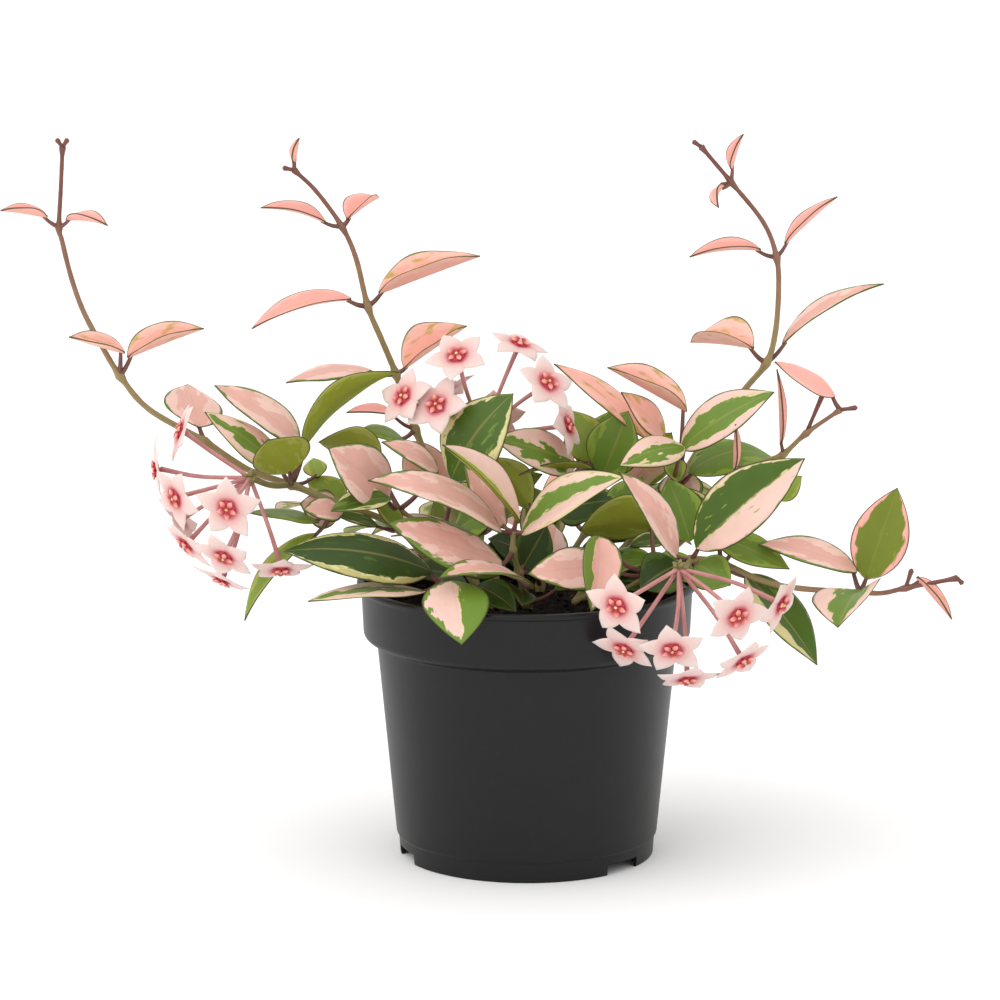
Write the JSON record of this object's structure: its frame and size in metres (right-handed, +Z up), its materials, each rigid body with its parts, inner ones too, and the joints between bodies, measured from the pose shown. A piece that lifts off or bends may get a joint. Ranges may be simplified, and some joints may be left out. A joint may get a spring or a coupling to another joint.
{
  "type": "potted hoya plant",
  "caption": "Bushy hoya with waxy pink and green variegated leaves, long reaching shoots and umbels of starry pale pink flowers, growing in a round black nursery pot.",
  "frame": {"origin": "centre of the pot's underside, on the surface that the pot stands on", "axes": "+Z up along the pot's axis; +X to the right, along the widest spread of the shoots; -Y towards the front, where the right-hand umbel hangs over the rim"},
  "size_m": [0.3404, 0.1848, 0.2571],
  "materials": {
    "pot": "satin",
    "soil": "matte",
    "shoot": "satin",
    "leaf": "satin",
    "flower": "satin"
  },
  "bodies": {
    "root": {"pot": "pot", "soil": "soil", "shoot_far_left": "shoot", "shoot_tall_left": "shoot", "shoot_tall_right": "shoot", "shoot_short_right": "shoot", "shoot_low_right": "shoot", "shoot_front": "shoot", "shoot_right": "shoot", "shoot_left": "shoot", "shoot_middle": "shoot", "shoot_low_front": "shoot", "shoot_back_left": "shoot", "shoot_back_right": "shoot", "umbel_left": "flower", "umbel_top": "flower", "umbel_right": "flower", "leaf_far_left_1": "leaf", "leaf_far_left_2": "leaf", "leaf_far_left_3": "leaf", "leaf_far_left_4": "leaf", "leaf_far_left_5": "leaf", "leaf_far_left_6": "leaf", "leaf_far_left_7": "leaf", "leaf_far_left_8": "leaf", "leaf_tall_left_1": "leaf", "leaf_tall_left_2": "leaf", "leaf_tall_left_3": "leaf", "leaf_tall_left_4": "leaf", "leaf_tall_left_5": "leaf", "leaf_tall_right_1": "leaf", "leaf_tall_right_2": "leaf", "leaf_tall_right_3": "leaf", "leaf_short_right_1": "leaf", "leaf_low_right_1": "leaf", "leaf_low_right_2": "leaf", "leaf_low_right_3": "leaf", "leaf_low_right_4": "leaf", "leaf_low_right_5": "leaf", "leaf_low_right_6": "leaf", "leaf_low_right_7": "leaf", "leaf_low_right_8": "leaf", "leaf_front_1": "leaf", "leaf_front_2": "leaf", "leaf_front_3": "leaf", "leaf_front_4": "leaf", "leaf_front_5": "leaf", "leaf_right_1": "leaf", "leaf_right_2": "leaf", "leaf_right_3": "leaf", "leaf_left_1": "leaf", "leaf_left_2": "leaf", "leaf_middle_1": "leaf", "leaf_middle_2": "leaf", "leaf_low_front_1": "leaf", "leaf_low_front_2": "leaf", "leaf_back_left_1": "leaf", "leaf_back_left_2": "leaf", "leaf_back_right_1": "leaf", "leaf_back_right_2": "leaf"}
  },
  "joints": []
}
